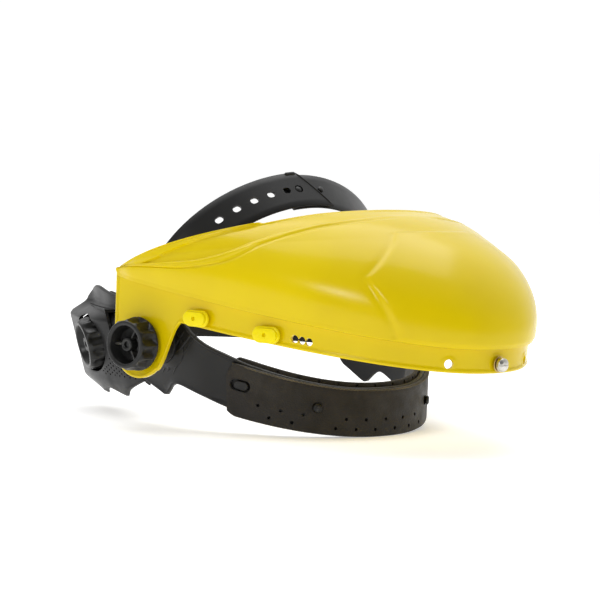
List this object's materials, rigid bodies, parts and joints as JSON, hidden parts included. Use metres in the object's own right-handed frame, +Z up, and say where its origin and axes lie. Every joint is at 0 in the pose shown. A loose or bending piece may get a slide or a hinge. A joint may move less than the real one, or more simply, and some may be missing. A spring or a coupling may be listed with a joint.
{
  "type": "face shield brow guard",
  "caption": "Yellow brow guard for a face-shield window, hinged on a black ratchet head harness with a crown strap and a sweatband",
  "frame": {"origin": "where the wearer's head sits: the middle of the head band, half way up its side plates", "axes": "-Y is the wearer's front, -X the wearer's right, +Z up"},
  "size_m": [0.2744, 0.3325, 0.1626],
  "materials": {
    "guard_yellow": "glossy moulded polypropylene, safety yellow",
    "peg_yellow": "semi-translucent lemon yellow moulding",
    "harness_black": "charcoal moulded nylon with a faint satin grain",
    "knob_black": "black moulded plastic, satin",
    "sweatband_brown": "perforated brown-black leatherette with a fine diagonal mesh",
    "nickel": "nickel plated steel",
    "brass": "turned brass",
    "rubber_black": "soft black rubber",
    "spring_steel": "bright spring steel"
  },
  "bodies": {
    "brow_guard": {"brow_guard": "guard_yellow", "right_friction_cup": "rubber_black", "right_pivot_bolt": "nickel", "right_pivot_washer": "nickel", "left_friction_cup": "rubber_black", "left_pivot_bolt": "nickel", "left_pivot_washer": "nickel", "front_screw_washer": "brass", "front_nut": "brass"},
    "right_pivot_knob": {"right_pivot_knob": "knob_black", "right_knob_insert": "brass"},
    "right_window_peg_rear": {"right_window_peg_rear": "peg_yellow"},
    "right_window_peg_front": {"right_window_peg_front": "peg_yellow"},
    "left_pivot_knob": {"left_pivot_knob": "knob_black", "left_knob_insert": "brass"},
    "left_window_peg_rear": {"left_window_peg_rear": "peg_yellow"},
    "left_window_peg_front": {"left_window_peg_front": "peg_yellow"},
    "front_screw": {"front_screw": "nickel"},
    "ratchet_knob": {"ratchet_knob": "knob_black", "ratchet_pinion": "knob_black"},
    "harness": {"crown_strap_left": "harness_black", "crown_strap_right": "harness_black", "detent_spring": "spring_steel", "headband": "harness_black", "left_pivot_ball": "harness_black", "left_strap_anchor": "knob_black", "nape_pad": "rubber_black", "ratchet_cover": "harness_black", "ratchet_housing": "harness_black", "ratchet_screw_lower": "nickel", "ratchet_screw_upper": "nickel", "right_pivot_ball": "harness_black", "right_strap_anchor": "knob_black", "sweatband": "sweatband_brown"}
  },
  "joints": [
    {"name": "guard_tilt", "type": "hinge", "parent": "harness", "child": "brow_guard", "pos_m": [0, -0.005, 0.012], "axis": [-1, 0, 0], "range_deg": [0, 88]},
    {"name": "right_knob_turn", "type": "hinge", "parent": "brow_guard", "child": "right_pivot_knob", "pos_m": [-0.1188, -0.00807, 0.012], "axis": [-0.9848, -0.1736, 0], "continuous": true},
    {"name": "right_window_peg_rear_turn", "type": "hinge", "parent": "brow_guard", "child": "right_window_peg_rear", "pos_m": [-0.10999, -0.0525, 0.0314], "axis": [-0.9736, -0.2282, 0], "range_deg": [0, 90]},
    {"name": "right_window_peg_front_turn", "type": "hinge", "parent": "brow_guard", "child": "right_window_peg_front", "pos_m": [-0.09579, -0.101, 0.0254], "axis": [-0.941, -0.3384, 0], "range_deg": [0, 90]},
    {"name": "left_knob_turn", "type": "hinge", "parent": "brow_guard", "child": "left_pivot_knob", "pos_m": [0.1188, -0.00807, 0.012], "axis": [0.9848, -0.1736, 0], "continuous": true},
    {"name": "left_window_peg_rear_turn", "type": "hinge", "parent": "brow_guard", "child": "left_window_peg_rear", "pos_m": [0.10999, -0.0525, 0.0314], "axis": [0.9736, -0.2282, 0], "range_deg": [0, 90]},
    {"name": "left_window_peg_front_turn", "type": "hinge", "parent": "brow_guard", "child": "left_window_peg_front", "pos_m": [0.09579, -0.101, 0.0254], "axis": [0.941, -0.3384, 0], "range_deg": [0, 90]},
    {"name": "front_screw_turn", "type": "hinge", "parent": "brow_guard", "child": "front_screw", "pos_m": [0, -0.2, 0.0135], "axis": [0, -1, 0], "continuous": true},
    {"name": "ratchet_turn", "type": "hinge", "parent": "harness", "child": "ratchet_knob", "pos_m": [-0.07649, 0.07155, 0.008], "axis": [-0.886, 0.379, -0.2672], "continuous": true}
  ]
}
